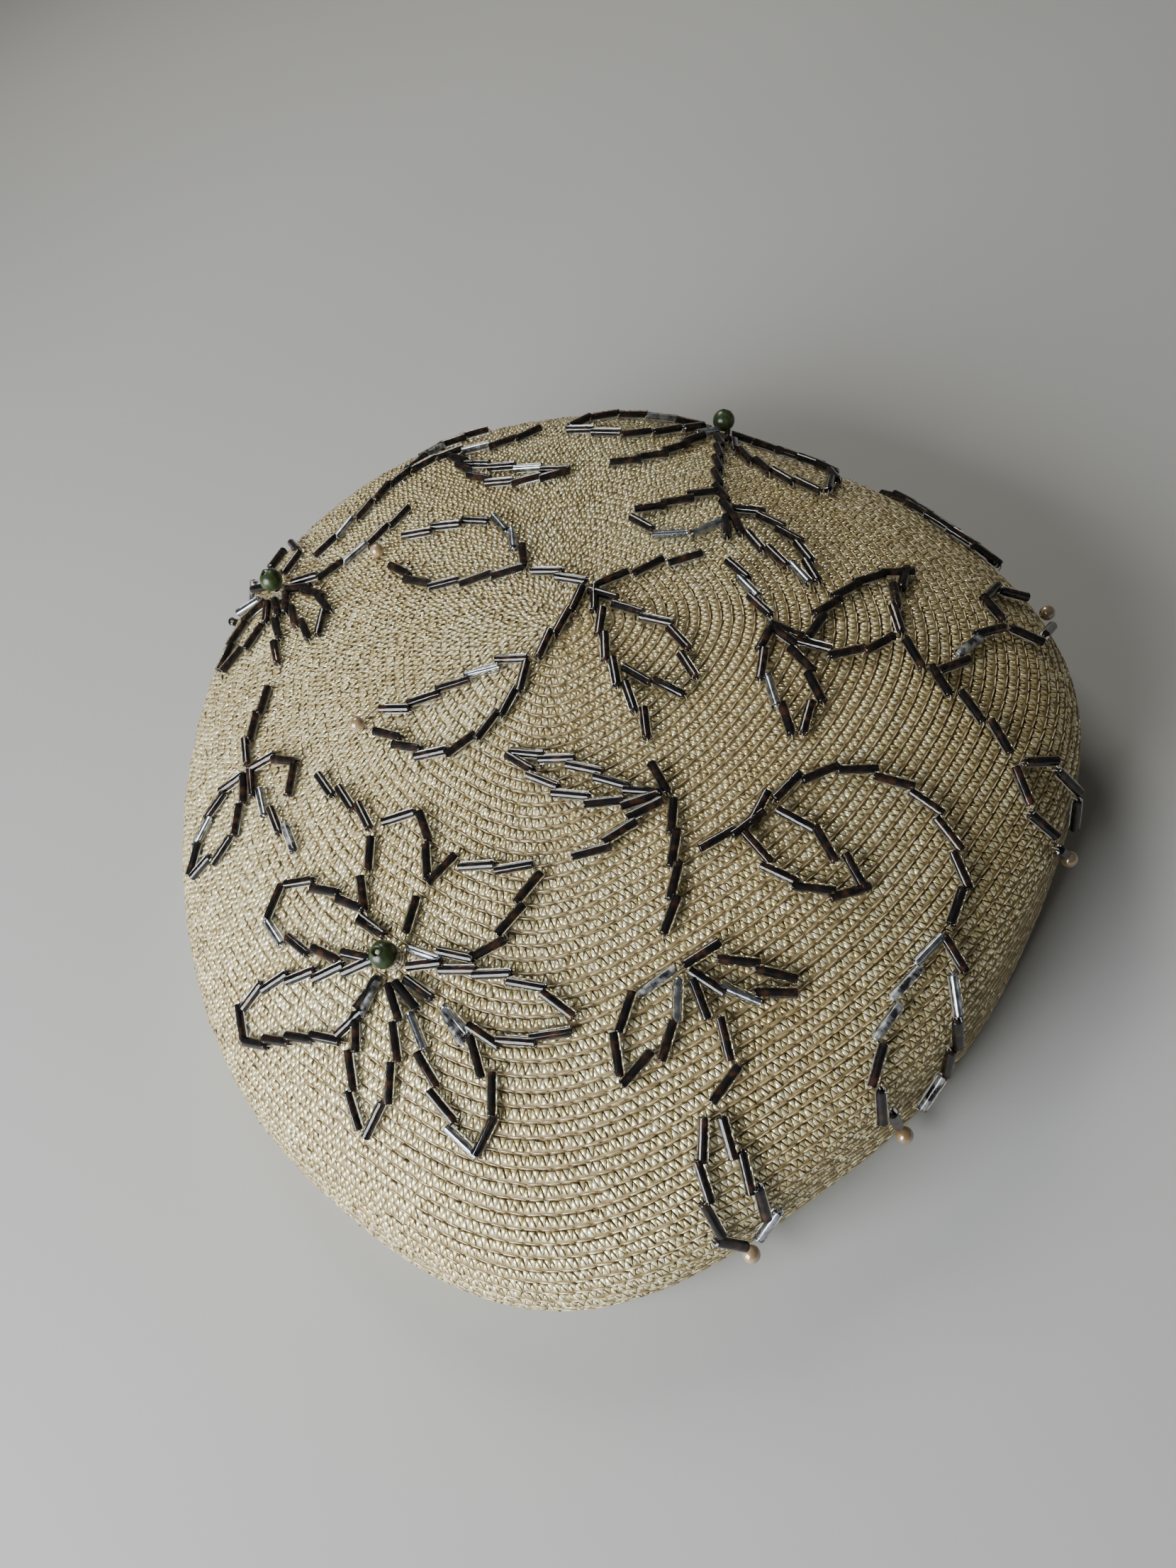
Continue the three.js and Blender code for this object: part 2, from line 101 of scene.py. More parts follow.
# A length of the selvage thread
SELVAGE_STITCH = 3.4
SELVAGE_LENGTH = 3.5
SELVAGE_WIDTH = 0.32
SELVAGE_HEIGHT = 0.2
SELVAGE_ACROSS = 0.93
SELVAGE_TWIST = 0.03
SELVAGE_FADES_AT = 0.62

# The beads
BUGLE_PITCH = 7.5
BUGLE_LENGTH = 8.2
BUGLE_RADIUS = 1.13
BUGLE_LIP = 0.14
BUGLE_SIDES = 16
LINING_RADIUS = 0.55
LINING_SHOWING = 0.02
LINING_SIDES = 12
RING_GAP = 0.06
BUGLE_SIDESTEP = 0.85
BUGLE_HEIGHT = 1.45
SEAT_GAP = 0.3
WOOD_RADIUS = 3.0
WOOD_BORE_RADIUS = 0.95
PEARL_RADIUS = 1.8
PEARL_BORE_RADIUS = 0.35
PEARL_LEAN = 0.8
BORE_EASING = 1.25
BORE_CHAMFER = 0.15

# How far a bugle strays in length, turn and place, and the stretch its way is read over
LENGTH_STRAY = 0.015
TURN_STRAY = 0.04
PLACE_STRAY = 0.12
WAY_STRETCH = 2
SAMPLES_PER_STOP = 24

# The threads: at a bugle's ends, in the wad under a wood bead and in the drilled beads
THREAD_RADIUS = 0.14
THREAD_SIDES = 4
THREAD_SHOWING = 0.8
THREAD_INSIDE = 0.1
THREAD_BEND_REACH = 0.35
THREAD_BEND_DROP = 0.3
THREAD_FOOT_REACH = 0.5
END_THREAD = 1.8
KNOT_THICKNESS = 0.8
KNOT_THREAD_RADIUS = 0.28
KNOT_THREAD_SIDES = 5
KNOT_TURNS = 3
KNOT_SIDES = 12
KNOT_RADIUS = 2.4
KNOT_NARROWING = 0.45
KNOT_FIRST_HEIGHT = 0.35
KNOT_RISE = 0.3
WOOD_THREAD_RADIUS = 0.55
WOOD_THREAD_SIDES = 8
WOOD_THREAD_DEPTH = 0.7
PEARL_THREAD_RADIUS = 0.2
PEARL_THREAD_SIDES = 6

# How finely the drilled beads are faceted
WOOD_SIDES = 40
WOOD_STEPS = 25
PEARL_SIDES = 28
PEARL_STEPS = 17

# Which way the beads of a spray's strings step aside, in turn
HANDS = (1, -1, 1, 1, -1)

# Finishes of a spray, in the order of its materials, and the share of gunmetal, silver and worn
# linings
GLASS_FINISH = 0
LININGS = (1, 2, 3)
THREAD_FINISH = 4
LINING_SHARES = (0.92, 0.06, 0.02)

# The strings of beads on the flattened crown, one list for each sewn spray
STRINGS = {
    "bead_spray_centre": [
        [[4, 8], [0, 10], [-5, 13]],
        [[-5, 13], [-7, 19], [-11, 27], [-17, 29], [-27, 30]],
        [[-5, 13], [-12, 14], [-17, 15], [-22, 17], [-28, 25]],
        [[4, 8], [8, 4], [12, 1], [17, -2], [20, -7], [22, -13]],
        [[22, -13], [20, -14], [15, -12], [10, -10]],
        [[4, 8], [1, 1], [-4, -7]],
        [[-4, -7], [-8, -6], [-14, -7], [-25, -9], [-31, -8]],
        [[-4, -7], [-6, -12], [-10, -17], [-16, -20], [-22, -19], [-31, -11]],
        [[4, 8], [9, 10], [16, 13], [23, 15]],
        [[4, 8], [5, 5], [7, -3], [11, -13], [14, -18], [16, -23]],
    ],
    "bead_vine_middle": [
        [[16.5, -25.5], [18, -31]],
        [[18, -31], [19, -34], [19, -43], [18, -49]],
        [[18, -31], [12, -29], [7, -26], [2, -23], [-6, -21]],
        [[18, -31], [11, -31], [5, -29], [0, -26], [-6, -21]],
        [[18, -31], [14, -33], [9, -36], [4, -37]],
    ],
    "bead_spray_front": [
        [[20, -53], [23, -51], [27, -52], [31, -53], [36, -55]],
        [[20, -53], [25, -55], [29, -56], [36, -55]],
        [[20, -53], [14, -54], [11, -57], [10, -63]],
        [[20, -53], [19, -56], [17, -60], [10, -63]],
        [[20, -53], [22, -56], [25, -60], [26, -63], [23, -68]],
        [[23, -68], [21, -71], [21, -75], [22, -80], [26, -85]],
        [[23, -68], [26, -73], [28, -77], [30, -81], [28.5, -85]],
    ],
    "bead_sprig_top": [
        [[25, 19], [26, 27], [25, 33], [24, 42], [24, 51], [24, 58.8]],
        [[25, 35], [22, 34], [19, 32], [10, 27]],
        [[26, 25], [23, 23], [19, 21], [14, 22], [10, 27]],
        [[26, 29], [30, 28], [34, 23], [37, 17], [38, 8]],
        [[26, 27], [29, 20], [32, 16], [35, 12], [38, 8]],
    ],
    "bead_sprig_right": [
        [[26, 14], [28, 8], [29, 4], [31, 0]],
        [[31, 0], [31, -8], [33, -13], [37, -21]],
        [[31, 0], [35, -5], [38, -10], [39, -14], [37, -21]],
        [[31, 0], [37, -4], [42, -5], [49, -1]],
        [[37, -4], [38, 1], [41, 6], [46, 11], [53, 15]],
        [[49, -1], [49, 6], [51, 12], [53, 15]],
        [[49, -1], [54, -7], [60, -12], [66, -18]],
        [[66, -18], [68, -24], [72, -27], [80, -28]],
        [[66, -18], [71, -17], [76, -19], [81, -23]],
        [[54, -7], [57, -4], [59, 0], [64, 6]],
        [[64, 6], [63, 12], [67, 15], [71, 15.5]],
        [[64, 6], [67, 5], [71, 7], [73.5, 13]],
    ],
    "bead_spray_right": [
        [[22, -37], [25, -37], [29, -35], [33, -33]],
        [[33, -33], [38, -34], [42, -38], [47, -42]],
        [[30, -35], [31, -38], [34, -41], [40, -43], [47, -42]],
        [[29, -35], [34, -30], [40, -26], [47, -25], [54, -28], [58, -34], [59, -40], [56, -45]],
        [[56, -45], [52, -51], [48, -57], [46, -63], [47, -68], [54, -73]],
        [[56, -45], [58, -49], [58, -54], [60, -60], [61, -66], [58, -72]],
    ],
    "bead_flower_front": [
        [[-23, -46.3], [-28, -43], [-29, -37], [-28, -30]],
        [[-28, -30], [-20, -28]],
        [[-21.5, -46.5], [-18, -40]],
        [[-18, -40], [-18, -35], [-20, -28]],
        [[-42, -16], [-35, -23], [-28, -30]],
        [[-18, -40], [-14, -37], [-8, -37], [0, -37]],
        [[-20.4, -48], [-13, -48], [-7, -47], [-3, -42], [0, -37]],
        [[-20.4, -49], [-12, -49.5], [-4, -50], [1, -52], [5, -56]],
        [[-20.7, -50], [-14, -54]],
        [[-14, -54], [-5, -57], [5, -56]],
        [[-21.5, -50.5], [-18, -55], [-16, -60], [-13, -65], [-8, -70]],
        [[-14, -54], [-9, -58], [-6, -63], [-8, -70]],
        [[-22.5, -50.8], [-21, -58], [-23, -65], [-28, -69]],
        [[-23.5, -50.5], [-27, -54], [-29, -60], [-29, -65], [-28, -69]],
        [[-24.3, -50], [-31, -57], [-40, -56.5], [-54, -55]],
        [[-24.7, -49], [-34, -49], [-47, -48], [-54, -50], [-54, -55]],
        [[-24.6, -48], [-33, -47], [-43, -43], [-50, -38]],
        [[-24, -46.8], [-29, -42], [-37, -37], [-45, -34], [-50, -38]],
    ],
    "bead_flower_back": [
        [[25.3, 63.5], [34, 60], [41, 55], [44, 47], [42, 37]],
        [[24.5, 62.5], [28, 51], [34, 43], [42, 37]],
        [[21.4, 65], [12, 64], [3, 62], [-3, 56]],
        [[21.7, 63.5], [14, 56], [6, 53], [-3, 56]],
        [[22.7, 62.5], [18, 52], [12, 45], [5, 41]],
        [[25.7, 65], [36, 65], [46, 61], [55, 54]],
        [[55, 54], [61, 47], [66, 38], [70, 27]],
        [[55, 54], [57, 42], [63, 33], [70, 27]],
        [[21.8, 66], [14, 71], [8, 78], [8, 86]],
        [[22.8, 66.6], [20, 75], [15, 82], [8, 86]],
        [[24, 66.7], [24, 75], [28, 82], [35, 85]],
        [[25.2, 66], [31, 71], [35, 77], [35, 85]],
    ],
    "bead_vine_back": [
        [[-6, 57], [-13, 53], [-21, 53], [-28, 50], [-34, 43], [-40, 37], [-44, 35]],
        [[-28, 50], [-24, 57], [-16, 62]],
        [[-21, 53], [-18, 48], [-10, 43], [0, 39]],
        [[-21, 53], [-16, 43], [-10, 38], [0, 39]],
    ],
    "bead_flower_left": [
        [[-51, 33], [-53, 39], [-50, 44]],
        [[-49, 33], [-47, 39], [-50, 44]],
        [[-47.5, 31], [-41, 29], [-34, 31], [-25, 38]],
        [[-48, 30], [-43, 26], [-40, 20], [-42, 14]],
        [[-49, 29], [-46, 21], [-42, 14]],
        [[-50, 29], [-49.5, 20], [-50, 11]],
        [[-52, 30], [-58, 26], [-63, 18]],
        [[-51, 29], [-54, 22], [-63, 18]],
        [[-52, 32], [-58, 37], [-65, 36]],
        [[-52.5, 31], [-59, 31], [-65, 36]],
    ],
    "bead_vine_left": [
        [[-50.5, 8], [-53, 4], [-56, -3], [-56, -8]],
        [[-56, -8], [-62, -11], [-67, -16], [-70, -22]],
        [[-56, -8], [-57, -15], [-60, -21], [-70, -22]],
        [[-56, -8], [-50, -9], [-46, -13], [-48, -18]],
        [[-56, -8], [-54, -13], [-50, -20], [-43, -29]],
    ],
}

# Where the round beads sit on the flattened crown
WOOD_BEADS = {
    "wood_bead_front": [-22.5, -48.5],
    "wood_bead_back": [23.5, 64.5],
    "wood_bead_left": [-50, 31],
}
PEARLS = {
    "pearl_front_rim": [27.5, -88],
    "pearl_right_rim": [57, -75.5],
    "pearl_right_side": [83, -26],
    "pearl_centre_leaf": [-34, -9.5],
    "pearl_upper_leaf": [-30.3, 28.5],
    "pearl_right_back": [74.5, 16.5],
}
AMBER_PEARLS = ("pearl_right_side", "pearl_right_back", "pearl_right_rim")


# The crown's surface

def around(values, bearing):
    """Smooth closed curve through evenly spaced values, read at a bearing."""
    count = len(values)
    place = (bearing / TAU) % 1.0 * count
    first = np.floor(place).astype(int) % count
    part = place - np.floor(place)
    a, b, c, d = (values[(first + step) % count] for step in (-1, 0, 1, 2))
    slope_in = (c - a) / 2
    slope_out = (d - b) / 2
    square = part * part
    cube = square * part
    start = b * (2 * cube - 3 * square + 1) + slope_in * (cube - 2 * square + part)
    return start + c * (3 * square - 2 * cube) + slope_out * (cube - square)


def crown_table(bearings, samples, shares):
    """Points at even shares of the way from the tip to the rim, one row for each bearing."""
    bearing = np.arange(bearings) / bearings * TAU
    reach = CROWN_HALF_WIDTH * around(SHOULDER_REACH, bearing)
    rise = CROWN_HEIGHT * around(SHOULDER_RISE, bearing)
    shoulder = np.stack([reach * np.cos(bearing), reach * np.sin(bearing), rise], 1)[:, None, :]
    rim = np.stack([RIM_HALF_WIDTH * np.cos(bearing), RIM_HALF_DEPTH * np.sin(bearing), 0 * rise], 1)
    rim = rim[:, None, :]
    tip = np.array([TIP_ACROSS, TIP_DEPTH, CROWN_HEIGHT])
    angle = np.linspace(0, math.pi / 2, samples)[None, :, None]
    over = tip + (shoulder - tip) * np.sin(angle)
    over[..., 2] = (shoulder + (tip - shoulder) * np.cos(angle))[..., 2]
    under = rim + (shoulder - rim) * np.cos(angle)
    under[..., 2] = (shoulder * (1 - np.sin(angle)))[..., 2]
    whole = np.concatenate([over, under[:, 1:]], 1)
    steps = np.linalg.norm(np.diff(whole, axis=1), axis=2)
    run = np.concatenate([np.zeros((bearings, 1)), np.cumsum(steps, 1)], 1)
    table = np.empty((bearings, shares, 3))
    for row in range(bearings):
        even = np.linspace(0, run[row, -1], shares)
        for axis in range(3):
            table[row, :, axis] = np.interp(even, run[row], whole[row, :, axis])
    return table


TABLE = crown_table(TABLE_BEARINGS, TABLE_SAMPLES, TABLE_SHARES)
AROUND = np.gradient(np.concatenate([TABLE[-1:], TABLE, TABLE[:1]]), axis=0)[1:-1]
DOWN = np.gradient(TABLE, axis=1)
OUT = np.cross(DOWN, AROUND)
OUT[:, 0] = (0, 0, 1)
OUT /= np.maximum(np.linalg.norm(OUT, axis=2, keepdims=True), 1e-9)


def read(table, bearing, share):
    """A table of the crown, read between its rows and columns."""
    rows, columns = table.shape[:2]
    row = (np.asarray(bearing) / TAU) % 1.0 * rows
    column = np.clip(share, 0, 1) * (columns - 1)
    r0 = np.floor(row).astype(int) % rows
    c0 = np.minimum(np.floor(column).astype(int), columns - 2)
    fr = (row - np.floor(row))[..., None]
    fc = (column - c0)[..., None]
    r1 = (r0 + 1) % rows
    top = table[r0, c0] * (1 - fr) + table[r1, c0] * fr
    low = table[r0, c0 + 1] * (1 - fr) + table[r1, c0 + 1] * fr
    return top * (1 - fc) + low * fc


def unit(vectors):
    return vectors / np.maximum(np.linalg.norm(vectors, axis=-1, keepdims=True), 1e-9)


def crown_frame(bearing, share):
    """Where a place on the crown is, and its ways along the row, down the crown and out of it."""
    point = read(TABLE, bearing, share)
    out = unit(read(OUT, bearing, share))
    way = np.stack([-np.sin(bearing), np.cos(bearing), 0 * bearing], -1)
    turning = np.where(np.asarray(share)[..., None] > 0.01, read(AROUND, bearing, share), way)
    along = unit(turning - (turning * out).sum(-1, keepdims=True) * out)
    return point, along, np.cross(along, out), out


def on_map(places):
    """The bearing and share of places on the flattened crown, whose rim lies 100 from its tip."""
    places = np.asarray(places, float)
    bearing = np.arctan2(places[..., 1], places[..., 0])
    share = np.hypot(places[..., 0], places[..., 1]) / 100
    return bearing, share


# Meshes

def new_object(name, points, faces, materials, face_material=None, tone=None):
    """A piece from points in millimetres and triangles."""
    points = np.asarray(points, float).reshape(-1, 3) + MIDDLE
    points[:, 2] = np.maximum(points[:, 2], 0.0)
    faces = np.asarray(faces, np.int32).reshape(-1, 3)
    mesh = bpy.data.meshes.new(name)
    mesh.vertices.add(len(points))
    mesh.vertices.foreach_set("co", (points * METRES).ravel())
    mesh.loops.add(faces.size)
    mesh.loops.foreach_set("vertex_index", faces.ravel())
    mesh.polygons.add(len(faces))
    mesh.polygons.foreach_set("loop_start", np.arange(0, faces.size, 3, dtype=np.int32))
    mesh.update(calc_edges=True)
    if face_material is not None:
        mesh.polygons.foreach_set("material_index", np.asarray(face_material, np.int32))
    mesh.polygons.foreach_set("use_smooth", np.full(len(faces), True))
    if tone is not None:
        layer = mesh.attributes.new("tone", "FLOAT", "POINT")
        layer.data.foreach_set("value", np.asarray(tone, np.float32))
    for material in materials:
        mesh.materials.append(material)
    piece = bpy.data.objects.new(name, mesh)
    bpy.context.scene.collection.objects.link(piece)
    return piece


def dress(piece, node):
    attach(piece, "root")
    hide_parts(node)


# Materials

def node_material(name):
    material = bpy.data.materials.new(name)
    material.use_nodes = True
    nodes = material.node_tree.nodes
    shader = nodes["Principled BSDF"]
    return material, nodes, material.node_tree.links, shader


def ramp_of(nodes, stops):
    ramp = nodes.new("ShaderNodeValToRGB")
    elements = ramp.color_ramp.elements
    while len(elements) < len(stops):
        elements.new(0.5)
    for element, (place, colour) in zip(elements, stops):
        element.position = place
        element.color = (*colour, 1.0)
    return ramp


def noise_of(nodes, links, scale, detail):
    place = nodes.new("ShaderNodeTexCoord")
    noise = nodes.new("ShaderNodeTexNoise")
    noise.inputs["Scale"].default_value = scale
    noise.inputs["Detail"].default_value = detail
    links.new(place.outputs["Object"], noise.inputs["Vector"])
    return noise


def bump_of(nodes, links, height, strength, distance, shader):
    bump = nodes.new("ShaderNodeBump")
    bump.inputs["Strength"].default_value = strength
    bump.inputs["Distance"].default_value = distance
    links.new(height, bump.inputs["Height"])
    links.new(bump.outputs["Normal"], shader.inputs["Normal"])


def multiplied(nodes, links, first, second):
    mix = nodes.new("ShaderNodeMix")
    mix.data_type = "RGBA"
    mix.blend_type = "MULTIPLY"
    mix.inputs["Factor"].default_value = 1.0
    links.new(first, mix.inputs["A"])
    links.new(second, mix.inputs["B"])
    return mix.outputs["Result"]


def noise_coloured(name, scale, detail, stops):
    """A material whose colour is a noise read through a ramp."""
    material, nodes, links, shader = node_material(name)
    noise = noise_of(nodes, links, scale, detail)
    colour = ramp_of(nodes, stops)
    links.new(noise.outputs["Fac"], colour.inputs["Fac"])
    links.new(colour.outputs["Color"], shader.inputs["Base Color"])
    return material, nodes, links, shader, noise


def plait_material(name, stops, metallic, roughness):
    """Satin straw: each cell of the plait has its own tone, with worn and darker patches."""
    material, nodes, links, shader = node_material(name)
    tone = nodes.new("ShaderNodeAttribute")
    tone.attribute_name = "tone"
    cells = ramp_of(nodes, stops)
    links.new(tone.outputs["Fac"], cells.inputs["Fac"])
    patches = noise_of(nodes, links, 28.0, 4.0)
    ageing = ramp_of(nodes, [(0.35, (0.86, 0.8, 0.7)), (0.65, (1.0, 1.0, 1.0))])
    links.new(patches.outputs["Fac"], ageing.inputs["Fac"])
    colour = multiplied(nodes, links, cells.outputs["Color"], ageing.outputs["Color"])
    links.new(colour, shader.inputs["Base Color"])
    shader.inputs["Roughness"].default_value = roughness
    shader.inputs["Metallic"].default_value = metallic
    shader.inputs["Specular IOR Level"].default_value = 1.0
    shader.inputs["IOR"].default_value = 1.7
    fibres = noise_of(nodes, links, 5200.0, 1.0)
    bump_of(nodes, links, fibres.outputs["Fac"], 0.25, 0.00008, shader)
    return material


def ground_painted_shade_material():
    """The plait's shell, seen between its cells, in a dark colour that is painted shade."""
    stops = [(0.3, (0.15, 0.1, 0.04)), (0.7, (0.36, 0.275, 0.13))]
    material, nodes, links, shader, noise = noise_coloured("straw_ground_painted_shade", 900.0, 2.0, stops)
    shader.inputs["Roughness"].default_value = 0.6
    bump_of(nodes, links, noise.outputs["Fac"], 0.4, 0.0002, shader)
    return material


def inside_material():
    """The back of the plait, seen from inside the crown."""
    stops = [(0.3, (0.5, 0.37, 0.17)), (0.7, (0.74, 0.6, 0.34))]
    material, nodes, links, shader, noise = noise_coloured("straw_inside", 700.0, 3.0, stops)
    shader.inputs["Roughness"].default_value = 0.5
    bump_of(nodes, links, noise.outputs["Fac"], 0.5, 0.0003, shader)
    return material


def glass_material():
    stops = [(0.3, (0.86, 0.9, 0.95)), (0.7, (0.97, 0.98, 1.0))]
    material, _, _, shader, _ = noise_coloured("bugle_glass", 400.0, 2.0, stops)
    shader.inputs["Transmission Weight"].default_value = 1.0
    shader.inputs["Roughness"].default_value = 0.03
    shader.inputs["IOR"].default_value = 1.5
    shader.inputs["Specular IOR Level"].default_value = 1.0
    return material


def lining_material(name, stops, metallic, roughness):
    """The lining in a bugle's bore, its colour uneven along it."""
    material, _, _, shader, _ = noise_coloured(name, 520.0, 3.0, stops)
    shader.inputs["Metallic"].default_value = metallic
    shader.inputs["Roughness"].default_value = roughness
    shader.inputs["Specular IOR Level"].default_value = 0.1
    return material


def thread_material():
    stops = [(0.3, (0.2, 0.16, 0.1)), (0.7, (0.48, 0.42, 0.32))]
    material, nodes, links, shader, noise = noise_coloured("thread", 3000.0, 2.0, stops)
    shader.inputs["Roughness"].default_value = 0.7
    bump_of(nodes, links, noise.outputs["Fac"], 0.5, 0.0001, shader)
    return material


def wood_material():
    material, nodes, links, shader = node_material("wood_bead")
    place = nodes.new("ShaderNodeTexCoord")
    stretch = nodes.new("ShaderNodeMapping")
    stretch.inputs["Scale"].default_value = (900.0, 900.0, 160.0)
    links.new(place.outputs["Object"], stretch.inputs["Vector"])
    grain = nodes.new("ShaderNodeTexNoise")
    grain.inputs["Scale"].default_value = 1.0
    grain.inputs["Detail"].default_value = 5.0
    links.new(stretch.outputs["Vector"], grain.inputs["Vector"])
    stops = [(0.3, (0.009, 0.015, 0.006)), (0.55, (0.025, 0.043, 0.014)), (0.75, (0.06, 0.075, 0.025))]
    colour = ramp_of(nodes, stops)
    links.new(grain.outputs["Fac"], colour.inputs["Fac"])
    links.new(colour.outputs["Color"], shader.inputs["Base Color"])
    shader.inputs["Roughness"].default_value = 0.28
    bump_of(nodes, links, grain.outputs["Fac"], 0.3, 0.0002, shader)
    return material


def pearl_material(name, low, high, see_through):
    material, _, _, shader, _ = noise_coloured(name, 600.0, 2.0, [(0.3, low), (0.7, high)])
    shader.inputs["Roughness"].default_value = 0.3
    shader.inputs["Coat Weight"].default_value = 1.0
    shader.inputs["Coat Roughness"].default_value = 0.08
    shader.inputs["Coat IOR"].default_value = 2.2
    shader.inputs["Transmission Weight"].default_value = see_through
    shader.inputs["Subsurface Weight"].default_value = 0.1
    shader.inputs["Subsurface Scale"].default_value = 0.001
    return material


# Facet tops: straw colour lightened towards white as painted highlight. Facet sides: darker amber as painted
# shade in the grooves between facets
STRAW_AND_PAINTED_HIGHLIGHT_TONES = [(0.0, (0.69, 0.57, 0.25)), (0.5, (0.92, 0.84, 0.46)), (1.0, (1.0, 0.96, 0.68))]
SIDE_PAINTED_SHADE_TONES = [(0.0, (0.14, 0.095, 0.035)), (0.5, (0.25, 0.185, 0.075)), (1.0, (0.36, 0.28, 0.13))]
SELVAGE_TONES = [(0.0, (0.26, 0.2, 0.09)), (0.6, (0.44, 0.36, 0.18)), (1.0, (0.66, 0.58, 0.36))]
# Gunmetal lining: black, with reddish-brown patches that are painted light seen through the bore
GUNMETAL_AND_BORE_LIGHT_TONES = [(0.45, (0.004, 0.004, 0.005)), (0.56, (0.022, 0.009, 0.006)), (0.68, (0.075, 0.028, 0.013))]
SILVER_TONES = [(0.3, (0.2, 0.21, 0.24)), (0.6, (0.6, 0.63, 0.7)), (0.8, (0.85, 0.88, 0.95))]
WORN_TONES = [(0.4, (0.03, 0.03, 0.035)), (0.5, (0.3, 0.3, 0.31)), (0.6, (0.65, 0.64, 0.6))]
# The top material is straw with painted highlight; the side material is painted shade
STRAW_AND_PAINTED_HIGHLIGHT = plait_material("straw_plait", STRAW_AND_PAINTED_HIGHLIGHT_TONES, metallic=0.42, roughness=0.23)
STRAW_SIDE_PAINTED_SHADE = plait_material("straw_plait_side_painted_shade", SIDE_PAINTED_SHADE_TONES, metallic=0.0, roughness=0.4)
SELVAGE = plait_material("straw_selvage", SELVAGE_TONES, metallic=0.15, roughness=0.3)
GROUND_PAINTED_SHADE = ground_painted_shade_material()
INSIDE = inside_material()
GLASS = glass_material()
GUNMETAL_AND_BORE_LIGHT = lining_material("lining_gunmetal_and_bore_light", GUNMETAL_AND_BORE_LIGHT_TONES, metallic=0.0, roughness=0.45)
SILVER = lining_material("lining_silver", SILVER_TONES, metallic=1.0, roughness=0.2)
WORN = lining_material("lining_worn", WORN_TONES, metallic=0.5, roughness=0.4)
THREAD = thread_material()
WOOD = wood_material()
PEARL = pearl_material("pearl_cream", (0.22, 0.14, 0.065), (0.4, 0.285, 0.165), 0.0)
AMBER = pearl_material("pearl_amber", (0.22, 0.13, 0.05), (0.42, 0.29, 0.15), 0.35)


# The straw: a shell with its rows lapped like tiles, and the cells of the plait on it

def rib_depth(bearing):
    """How far a row's inner edge tucks under the row before it. The ribs fade towards the left."""
    return TILE_STEP * (RIB_MEAN + RIB_SWING * np.cos(bearing - RIB_BEARING))


def tile_lift(bearing, across):
    """How high a row lies at a place across it: level at its outer edge, and sunk at its inner edge."""
    return -rib_depth(bearing) * (1 - across)


def helical_grid(columns, laps, heights, inward):
    """A skin that follows the sewn spiral. Each row has its laps, given by their place across it.

    The heights are shares of the ribs' depth below the top of the row, or plain heights on the
    skin that faces inward.
    """
    rings = len(laps)
    turns = np.arange(-1, ROWS + 2)
    rows = (turns[:, None] + np.asarray(laps)).ravel()
    lift = np.tile(heights, len(turns))
    column = np.arange(columns)
    share = (rows[:, None] + column / columns) / ROWS
    bearing = np.broadcast_to(column / columns * TAU, share.shape)
    inner = share <= 0
    outer = share >= 1
    point, _, _, out = crown_frame(bearing, share)
    if inward:
        rise = np.broadcast_to(lift[:, None], share.shape)
    else:
        rise = tile_lift(bearing, 1 - lift[:, None])
    point = point + out * rise[..., None]
    number = np.arange(share.size).reshape(share.shape) + 1 + columns
    number[inner] = 0
    number[outer] = np.broadcast_to(column + 1, share.shape)[outer]
    tip = read(TABLE, np.zeros(1), np.zeros(1)) + (0, 0, heights[0] if inward else 0)
    edge, _, _, _ = crown_frame(column / columns * TAU, np.ones(columns))
    points = np.concatenate([tip, edge, point.reshape(-1, 3)])
    low = number[:-rings]
    joined = np.concatenate([low, number[rings:, :1]], 1)
    a = joined[:-1, :-1]
    b = joined[:-1, 1:]
    c = joined[1:, :-1]
    d = joined[1:, 1:]
    first = np.stack([a, c, b], -1).reshape(-1, 3)
    second = np.stack([b, c, d], -1).reshape(-1, 3)
    faces = np.concatenate([first, second])
    whole = (faces[:, 0] != faces[:, 1]) & (faces[:, 1] != faces[:, 2]) & (faces[:, 2] != faces[:, 0])
    faces = faces[whole]
    if inward:
        faces = faces[:, ::-1]
    used, index = np.unique(faces, return_inverse=True)
    return points[used], index.reshape(faces.shape), np.searchsorted(used, np.arange(1, columns + 1))


def straw_shell():
    """The closed shell of the straw, ribbed outside and nearly plain inside."""
    outside, out_faces, out_edge = helical_grid(
        SHELL_COLUMNS, laps=OUTSIDE_LAPS, heights=OUTSIDE_SINKING, inward=False)
    inside, in_faces, in_edge = helical_grid(
        SHELL_COLUMNS, laps=INSIDE_LAPS, heights=INSIDE_HEIGHTS, inward=True)
    radial = unit(inside[in_edge] * (1, 1, 0))
    inside[in_edge] -= radial * STRAW_THICKNESS
    in_faces = in_faces + len(outside)
    in_edge = in_edge + len(outside)
    turned = np.roll(out_edge, -1)
    turned_in = np.roll(in_edge, -1)
    rim = np.concatenate([
        np.stack([out_edge, in_edge, turned], 1),
        np.stack([turned, in_edge, turned_in], 1),
    ])
    faces = np.concatenate([out_faces, rim, in_faces])
    finish = np.concatenate([np.zeros(len(out_faces)), np.zeros(len(rim)), np.ones(len(in_faces))])
    points = np.concatenate([outside, inside])
    # The outside of the shell, seen between the cells, is painted dark as shade
    piece = new_object("straw_shell", points, faces, [GROUND_PAINTED_SHADE, INSIDE], finish)
    dress(piece, "straw_crown")


# A strand's facet: a triangle with sunken edges, its base on one side of the row and its tip on the other
FACET = np.array([
    [-1.0, -1.0, -0.4], [1.0, -1.0, -0.4], [0.0, 1.05, -0.4],
    [-0.8, -0.86, 0.8], [0.8, -0.86, 0.75], [0.0, 0.84, 1.0],
])
FACET_FACES = np.array([
    [3, 4, 5], [0, 1, 4], [0, 4, 3], [1, 2, 5], [1, 5, 4], [2, 0, 3], [2, 3, 5], [0, 2, 1],
])

